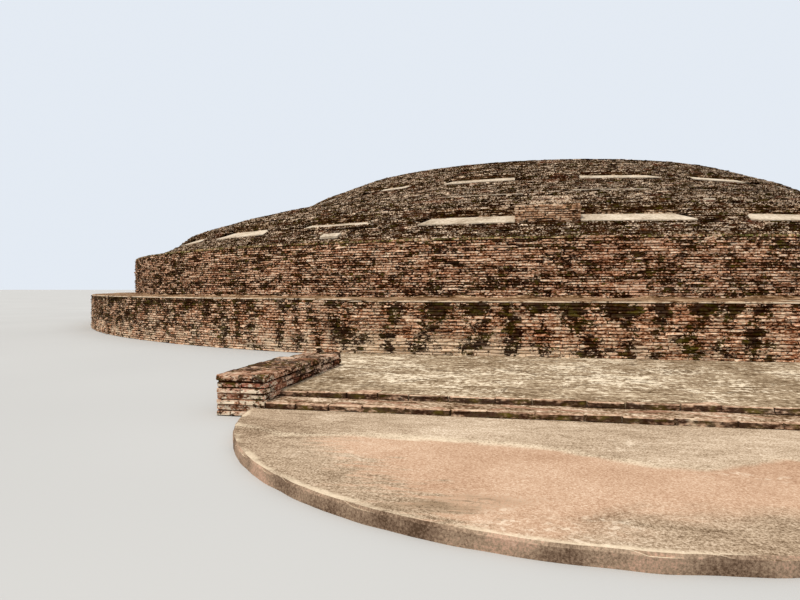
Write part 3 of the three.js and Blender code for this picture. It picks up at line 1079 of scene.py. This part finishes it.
def lay_piers(name, seed, finish, pier):
    """The upright piers between two recesses on an axis, three rows of bricks deep."""
    work = Brickwork(name, seed)
    courses = round((pier["top"] - pier["foot"]) / COURSE)
    for side in range(pier["sides"]):
        quarter = side * 4 // pier["sides"]
        for course in range(courses):
            z = pier["foot"] + (course + 0.5) * (pier["top"] - pier["foot"]) / courses
            lap = 0.008 if course % 2 else 0.0
            rise = 0.01 if course == courses - 1 else 0.0
            for row in range(3):
                y = -(pier["outer"] + PROUD) + row * 0.3
                start = turned((pier["left"] - 0.008 + lap, y), quarter)
                end = turned((pier["right"] + 0.008 - lap, y), quarter)
                height = BRICK_HEIGHT + 0.004 + rise
                work.straight_course(start, end, z + rise, BROKEN, 0.29, height, 0.012)
    work.lay(finish, share=0.15)


def lay_crown(finish):
    """Flat rings of bricks over the crown."""
    work = Brickwork("dome_crown_bricks", 47)
    pitch = 0.27
    radius = CROWN_PROFILE[0][0]
    while radius > 0.3:
        z = height_at(CROWN_PROFILE, radius - pitch / 2) - 0.006
        work.round_course(radius, z, full_circle(), BROKEN, pitch - 0.01, BRICK_HEIGHT, 0.01)
        radius -= pitch
    work.lay(finish, worn_face=False, ragged=0.005, chip=0.03, share=0.1)


def lay_parapets(finish):
    """Solid brickwork in two rows behind a front end of headers, with its last course a little raised."""
    width = PARAPET_OUTER - PARAPET_INNER
    for sign, side in ((-1, "left"), (1, "right")):
        work = Brickwork("parapet_bricks_" + side, 51 + sign)
        for near, far, top, courses in (
            (STEP_EDGE, PARAPET_JOINT, PARAPET_FRONT_TOP, 7),
            (PARAPET_JOINT - 0.002, PARAPET_END, PARAPET_REAR_TOP, 6),
        ):
            for course in range(courses):
                rise = 0.016 if course == courses - 1 else 0.0
                z = (course + 0.5) * top / courses + rise
                height = top / courses - 0.012 + rise
                bond = 0.14 if course % 2 else 0.27
                lap = 0.006 * (course % 2)
                front = -near - PROUD + lap
                flanks = (sign * (PARAPET_INNER - PROUD + lap), sign * (PARAPET_OUTER + PROUD - lap))
                left, right = sorted(flanks)
                depth = width / 2 + PROUD - lap - 0.006
                for start, end, sizes, deep in (
                    ((left, front), (right, front), HEADERS, bond - 0.008),
                    ((left, -far), (left, front + bond), STRETCHERS, depth),
                    ((right, front + bond), (right, -far), STRETCHERS, depth),
                ):
                    work.straight_course(start, end, z, sizes, deep, height, 0.004)
        work.lay(finish, ragged=0.004, chip=0.02, share=0.1)


def lay_risers(finish):
    """One course of bricks along the front of the step and of the terrace."""
    work = Brickwork("riser_bricks", 61)
    for edge, low, high in ((STEP_EDGE, APRON, STEP_TOP), (TERRACE_EDGE, STEP_TOP, TERRACE_TOP)):
        y = -edge - PROUD
        z = (low + high) / 2 - 0.003
        start, end = (-RISER_HALF, y), (RISER_HALF, y)
        work.straight_course(start, end, z, STEP_BRICKS, 0.2, high - low - 0.004, 0.003)
    work.lay(finish, edge=-0.05, crown=0.05, ragged=0.005, chip=0.014, share=0.2)


# Poured pieces

def ledge_height(x, y):
    """The screed's top, heaped with soil at the drum's foot and let down past the wall's edge."""
    radius = math.hypot(x, y)
    z = LEDGE + 0.006 * rolling(x, y, 0.9) + 0.003 * rolling(x, y, 5.0, 3.0)
    heap = max(0.0, 1 - (radius - DRUM_RADIUS) / 0.22)
    z += heap * heap * 0.09 * max(0.0, 0.4 + rolling(x, y, 1.7, 9.0))
    on_platform = min(abs(x), abs(y)) < PLATFORM_HALF
    edge = PLATFORM_FACE if on_platform else BASEMENT_RADIUS
    reach = max(abs(x), abs(y)) if on_platform else radius
    return z - (0.012 if reach > edge else 0.0)


def pour_ledge_ring(finish):
    """The round screed, ragged at its outer edge between the platforms."""
    ring = Cast("ledge_screed_ring")
    around = 720
    lines = [DRUM_RADIUS - 0.01, 20.8, 20.95, 21.2, 21.6, 22.0, 22.22, 22.32, BASEMENT_RADIUS + SCREED_LAP]
    rows = len(lines) - 1

    def place(i, j):
        bearing = i * 2 * math.pi / around
        radius = lines[j]
        if j == rows:
            ragged = min(abs(math.sin(bearing)), abs(math.cos(bearing))) * radius > PLATFORM_HALF
            radius = radius + 0.012 * uneven(i * 0.7, 3.0, 0.0) if ragged else BASEMENT_RADIUS
        return radius * math.sin(bearing), -radius * math.cos(bearing)

    ring.slab(grid(around, rows), place, ledge_height, level(LEDGE - SCREED), wrap=around)
    ring.pour(finish, [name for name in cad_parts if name.startswith("ledge_screed")])


def pour_platform_bed(finish, quarter, side):
    """The screed on one platform, ragged along its face and fitted to the round wall behind."""
    bed = Cast("platform_screed_bed_" + side)
    columns, rows = 80, 14
    half = PLATFORM_HALF + SCREED_LAP

    def place(i, j):
        x = -half + 2 * half * i / columns
        rear = math.sqrt(BASEMENT_RADIUS ** 2 - x * x) - 0.01
        face = PLATFORM_FACE + SCREED_LAP + 0.01 * uneven(i * 0.6, quarter, 1.0)
        return turned((x, -(face + (rear - face) * j / rows)), quarter)

    bed.slab(grid(columns, rows), place, ledge_height, level(LEDGE - SCREED))
    bed.pour(finish, ["platform_screed_" + side])


def pour_ledge(finish):
    """All the screed: one ring, and a bed on each platform."""
    pour_ledge_ring(finish)
    for quarter, side in enumerate(SIDES):
        pour_platform_bed(finish, quarter, side)


def shelf_limits(recess, pier, bay, near, far, rows):
    """The two ends of each row of a recess slab, clipped beside a pier and where the slab is broken.

    For a broken slab, recess["short"] gives its two ends and how much of its front is lost, by bay.
    """
    step = 2 * math.pi / recess["count"]
    between_piers = 2 * math.pi / pier["sides"]
    bearing = (bay + 0.5) * step
    off = bearing - round(bearing / between_piers) * between_piers
    first, last, _ = recess["short"].get(bay, WHOLE_SLAB)
    limits = []
    for row in range(rows + 1):
        distance = near + (far - near) * row / rows
        left, right = recess_ends(recess, distance)
        if abs(off) < step and off < 0:
            right = (pier["left"] - 0.005 - distance * math.sin(off)) / math.cos(off)
        elif abs(off) < step:
            left = (pier["right"] + 0.005 - distance * math.sin(off)) / math.cos(off)
        limits.append((max(left, first), min(right, last)))
    return limits


def pour_shelf(cast, recess, pier, bay):
    """The cream slab on one recess shelf, ragged at its front."""
    columns, rows = 26, 4
    bearing = (bay + 0.5) * (2 * math.pi / recess["count"])
    front, foot = recess["foot"]
    near = front + 0.03 - recess["short"].get(bay, WHOLE_SLAB)[2]
    far = recess["back"][0] - 0.01
    slope = shelf_slope(recess)
    limits = shelf_limits(recess, pier, bay, near, far, rows)

    def place(column, row):
        left, right = limits[row]
        distance = near + (far - near) * row / rows
        if row == 0:
            distance += 0.025 * uneven(column * 0.5, bay * 7.3, 2.0)
        return spot(bearing, distance, left + (right - left) * column / columns)

    def shelf(x, y):
        distance = x * math.sin(bearing) - y * math.cos(bearing)
        return foot + (front - distance) * slope

    def top(x, y):
        return shelf(x, y) + 0.022 + 0.005 * rolling(x, y, 2.5)

    cast.slab(grid(columns, rows), place, top, lambda x, y: shelf(x, y) - 0.01)


def pour_weatherings(name, finish, recess, pier):
    """Cream slabs on all the recess shelves of one band."""
    cast = Cast(name)
    for bay in range(recess["count"]):
        pour_shelf(cast, recess, pier, bay)
    cast.pour(finish)


def pour_axis_slab(cast, number, quarter, middle, length, height):
    """A thin cream slab along a middle course beside an axis, worn at its edges."""
    columns = round(length / 0.12)
    profile = UPPER_PROFILE if height > LOWER_PROFILE[-1][1] else LOWER_PROFILE
    radius = radius_at(profile, height)

    def place(i, j):
        along = middle - length / 2 + length * i / columns
        worn = 0.03 * uneven(i * 0.6, number * 5.1, j * 3.0)
        distance = math.sqrt(radius * radius - along * along) + 0.1 - 0.1 * j + worn
        return spot(quarter * math.pi / 2, distance, along)

    def top(x, y):
        return height + 0.024 + 0.006 * rolling(x, y, 3.0)

    cast.slab(grid(columns, 2), place, top, level(height - 0.01))


def pour_loose_slab(cast, degrees, near, far, length, lift):
    """A short slab that has slipped and lies on the dome's slope."""
    columns, rows = 8, 3

    def place(i, j):
        along = length * (i / columns - 0.5) + 0.02 * uneven(j * 1.3, degrees, 4.0)
        distance = near + (far - near) * j / rows + 0.02 * uneven(i * 0.9, degrees, 1.0)
        return spot(math.radians(degrees), distance, along)

    def lying(rise):
        return lambda x, y: height_at(LOWER_PROFILE, math.hypot(x, y)) + rise

    cast.slab(grid(columns, rows), place, lying(lift), lying(0.03))


def pour_pale_slabs(finish):
    """Thin cream slabs on the middle courses beside each axis, and two short loose ones lower down."""
    cast = Cast("middle_weatherings")
    beside_axes = [(quarter, *slab) for quarter in range(4) for slab in AXIS_SLABS]
    for number, place in enumerate(beside_axes):
        pour_axis_slab(cast, number, *place)
    for place in LOOSE_SLABS:
        pour_loose_slab(cast, *place)
    cast.pour(finish)


def pour_terrace(finish):
    """The terrace, with its worn front edge and the strips under the two parapets."""
    cast = Cast("terrace_paving")
    inner = PARAPET_INNER - 0.002
    neck = -PARAPET_END + 0.002
    front = -TERRACE_EDGE + 0.06
    rear = -PLATFORM_FACE - 0.002
    front_rows, rear_rows = 20, 14
    outer_lines = [3.68, 3.8, 3.95, PLATFORM_HALF]
    lines_x = [-x for x in reversed(outer_lines)] + [-inner, -inner + 0.02]
    lines_x += [-3.5 + 0.125 * k for k in range(57)]
    lines_x += [inner - 0.02, inner] + outer_lines
    lines_y = [-TERRACE_EDGE, -TERRACE_EDGE + 0.02, front]
    lines_y += [front + (neck - front) * k / front_rows for k in range(1, front_rows + 1)]
    lines_y += [neck + (rear - neck) * k / rear_rows for k in range(1, rear_rows + 1)]

    def height(x, y):
        z = TERRACE_TOP + 0.005 * rolling(x, y, 0.8) + 0.0025 * rolling(x, y, 4.0, 5.0)
        return z - (0.012 if y < -TERRACE_EDGE + 0.01 else 0.0)

    def place(i, j):
        x, y = lines_x[i], lines_y[j]
        if j == 0:
            y += 0.01 * uneven(x * 3.0, 0.0, 8.0) + 0.01
        return x, y

    cells = [
        (i, j) for i, j in grid(len(lines_x) - 1, len(lines_y) - 1)
        if lines_y[j + 1] > neck + 0.001 or abs(lines_x[i] + lines_x[i + 1]) / 2 < inner
    ]
    cast.slab(cells, place, height, level(0.0))
    cast.pour(finish, ["terrace"])


def pour_step(finish):
    """The step, with its worn front edge."""
    cast = Cast("step_tread")
    columns, rows = 90, 6
    depth = STEP_EDGE - TERRACE_EDGE - 0.001

    def place(i, j):
        x = -STEP_HALF + 2 * STEP_HALF * i / columns
        y = -STEP_EDGE + depth * j / rows
        if j == 0:
            y += 0.012 * uneven(x * 3.0, 0.0, 4.0) + 0.012
        return x, y

    def height(x, y):
        z = STEP_TOP + 0.004 * rolling(x, y, 1.6, 2.0) + 0.003 * rolling(x, y, 6.0, 1.0)
        return z - (0.01 if y < -STEP_EDGE + 0.03 else 0.0)

    cast.slab(grid(columns, rows), place, height, level(0.0))
    cast.pour(finish, ["lower_step"])


def pour_threshold(finish):
    """The half-round slab, in columns from its straight side to its worn round edge."""
    cast = Cast("threshold_paving")
    face = STEP_EDGE + 0.001
    reach = math.acos((face - SLAB_CENTRE) / SLAB_RADIUS)
    columns, rows = 120, 30
    lip = 0.012

    def place(i, j):
        angle = reach * (2 * i / columns - 1)
        worn = SLAB_RADIUS - 0.005 + 0.02 * uneven(i * 0.3, 1.0, 0.0)
        x = worn * math.sin(angle)
        edge = min(-SLAB_CENTRE - worn * math.cos(angle), -face - lip)
        if j >= rows - 1:
            return x, edge + lip * (rows - j)
        part = 1 - (1 - min(j, rows - 2) / (rows - 1)) ** 1.5
        return x, -face + (edge + face) * part

    def height(x, y):
        from_edge = SLAB_RADIUS - math.hypot(x, y + SLAB_CENTRE)
        z = APRON + 0.006 * rolling(x, y, 0.7, 4.0) + 0.002 * rolling(x, y, 5.0, 6.0)
        return z - (0.02 if from_edge < lip else 0.0)

    cast.slab(grid(columns, rows), place, height, level(0.0))
    cast.pour(finish, ["threshold_slab"])


# Floor, light and camera

def set_studio():
    """A plain pale floor, soft light and the camera at the photograph's angle."""
    scene = bpy.context.scene
    reach = FLOOR_HALF * SCALE
    floor = bpy.data.meshes.new("floor")
    corners = [(-reach, -reach, 0), (reach, -reach, 0), (reach, reach, 0), (-reach, reach, 0)]
    floor.from_pydata(corners, [], [(0, 1, 2, 3)])
    floor.materials.append(plain_floor())
    ground = bpy.data.objects.new("floor", floor)
    scene.collection.objects.link(ground)

    world = bpy.data.worlds.new("studio_light")
    world.use_nodes = True
    background = world.node_tree.nodes["Background"]
    background.inputs["Color"].default_value = (0.86, 0.92, 1.0, 1.0)
    background.inputs["Strength"].default_value = 0.9
    scene.world = world

    lamp = bpy.data.lights.new("key_light", "SUN")
    lamp.energy = 2.8
    lamp.angle = math.radians(16)
    lamp.color = (1.0, 0.95, 0.88)
    key = bpy.data.objects.new("key_light", lamp)
    key.rotation_euler = LIGHT_DIRECTION.to_track_quat("-Z", "Y").to_euler()
    scene.collection.objects.link(key)

    lens = bpy.data.cameras.new("camera")
    lens.sensor_width = SENSOR
    lens.lens = LENS
    lens.shift_y = LENS_SHIFT
    lens.clip_end = 1000
    camera = bpy.data.objects.new("camera", lens)
    camera.location = CAMERA_PLACE * SCALE
    camera.rotation_euler = (math.radians(90), 0, math.radians(CAMERA_BEARING))
    scene.collection.objects.link(camera)
    scene.camera = camera
    scene.view_settings.view_transform = "Standard"


set_studio()

core = earth_mortar()
limed_core = wall_mortar()
for name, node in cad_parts.items():
    node.data.materials.clear()
    node.data.materials.append(limed_core if name.startswith(("basement", "platform")) else core)

wall_finish = basement_brick()
lay_basement(wall_finish)
lay_platforms(wall_finish)
lay_drum(drum_brick())
dome_finish = dome_brick()
lay_dome(dome_finish)
shaded_recess_finish = shaded_recess_brick()
lay_recess_backs("lower_recess_backs", 71, shaded_recess_finish, LOWER_RECESS)
lay_recess_backs("upper_recess_backs", 72, shaded_recess_finish, UPPER_RECESS)
lay_piers("lower_pier_bricks", 81, pier_brick(), LOWER_PIER)
lay_piers("upper_pier_bricks", 82, dome_finish, UPPER_PIER)
lay_crown(dome_finish)
lay_parapets(parapet_brick())
lay_risers(step_brick())

pour_ledge(ledge_screed())
cream_finish = cream_weathering()
pour_weatherings("lower_weatherings", cream_finish, LOWER_RECESS, LOWER_PIER)
pour_weatherings("upper_weatherings", cream_finish, UPPER_RECESS, UPPER_PIER)
pour_pale_slabs(cream_finish)
pour_terrace(terrace_cement())
pour_step(tread_cement())
pour_threshold(slab_cement())

bpy.context.view_layer.update()
